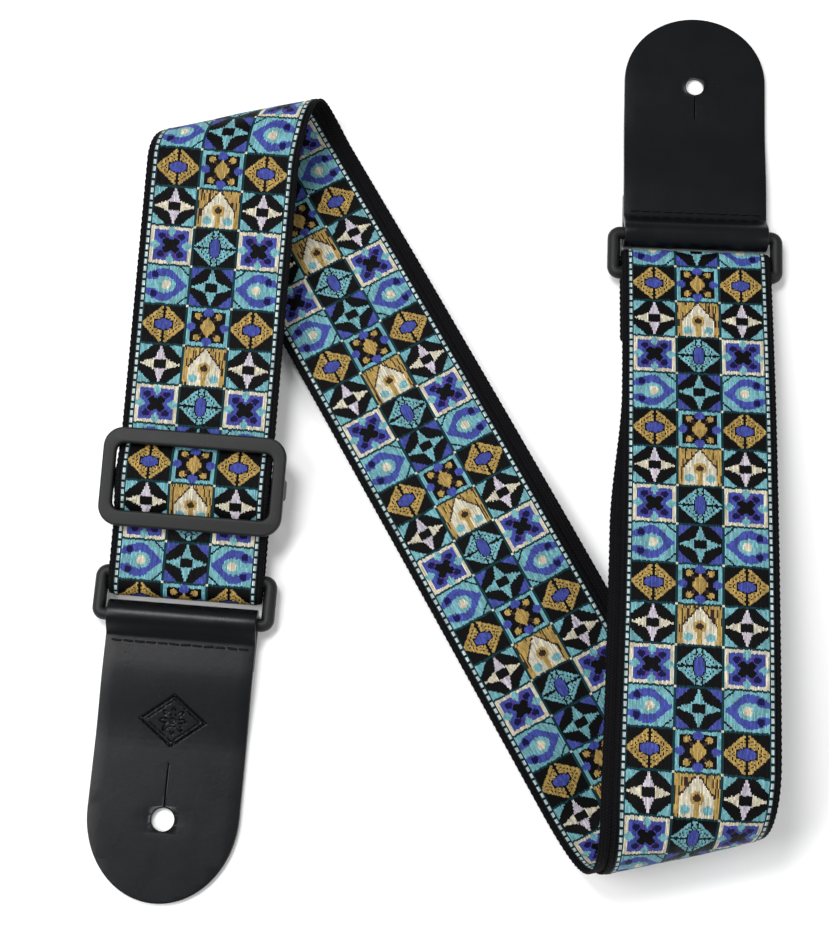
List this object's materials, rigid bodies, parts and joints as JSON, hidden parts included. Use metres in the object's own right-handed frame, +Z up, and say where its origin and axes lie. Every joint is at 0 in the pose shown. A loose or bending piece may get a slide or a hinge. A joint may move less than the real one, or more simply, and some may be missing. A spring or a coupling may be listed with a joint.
{
  "type": "guitar strap",
  "caption": "Adjustable woven guitar strap in a flat zigzag, with a plastic slider, two end rings and leather button tabs.",
  "frame": {"origin": "axis of the strap-button hole in the lower leather tab, at the table the strap lies on", "axes": "+Z up from the table and along the hole; +Y from the lower tab's end towards the upper tab's end; +X from the left run to the right run"},
  "size_m": [0.2332, 0.3058, 0.0411],
  "materials": {
    "webbing": "ribbed black webbing, matt",
    "ribbon": "blue, turquoise, gold and cream satin jacquard on black",
    "plastic": "charcoal moulded plastic, matt",
    "leather": "black smooth leather, soft sheen",
    "thread": "black sewing thread"
  },
  "bodies": {
    "strap": {"front_webbing": "webbing", "front_ribbon": "ribbon", "back_webbing": "webbing", "back_ribbon": "ribbon", "upper_strap_loop": "webbing", "upper_loop_stitching": "thread"},
    "slider": {"slider": "plastic", "strap_over_slider_bar": "ribbon", "sewn_return_end": "webbing", "return_end_stitching": "thread"},
    "adjuster_fold": {"adjuster_front_run": "ribbon", "adjuster_ring_loop": "webbing"},
    "lower_ring": {"lower_ring": "plastic"},
    "lower_tab": {"lower_leather_tab": "leather", "lower_tab_stitching": "thread"},
    "upper_ring": {"upper_ring": "plastic"},
    "upper_tab": {"upper_leather_tab": "leather", "upper_tab_stitching": "thread"}
  },
  "joints": [
    {"name": "slider_slide", "type": "slide", "parent": "strap", "child": "slider", "axis": [0.0782, 0.9903, 0.1151], "range_m": [-0.008, 0.056]},
    {"name": "fold_slide", "type": "slide", "parent": "strap", "child": "adjuster_fold", "axis": [0.0782, 0.9903, 0.1151], "range_m": [-0.0045, 0.0285], "deforming": ["adjuster_front_run"]},
    {"name": "lower_ring_swing", "type": "hinge", "parent": "adjuster_fold", "child": "lower_ring", "pos_m": [0.00623, 0.07885, 0.0049], "axis": [-0.9969, 0.0787, 0], "range_deg": [0, 60]},
    {"name": "lower_tab_swing", "type": "hinge", "parent": "lower_ring", "child": "lower_tab", "pos_m": [0.00511, 0.0647, 0.0049], "axis": [-0.9969, 0.0787, 0], "range_deg": [0, 75]},
    {"name": "upper_ring_swing", "type": "hinge", "parent": "strap", "child": "upper_ring", "pos_m": [0.17778, 0.18321, 0.0049], "axis": [0.9992, -0.0396, 0], "range_deg": [0, 60]},
    {"name": "upper_tab_swing", "type": "hinge", "parent": "upper_ring", "child": "upper_tab", "pos_m": [0.17834, 0.19739, 0.0049], "axis": [0.9992, -0.0396, 0], "range_deg": [0, 75]}
  ],
  "couplings": [
    {"joint": "fold_slide", "follows": "slider_slide", "ratio": 0.5}
  ]
}
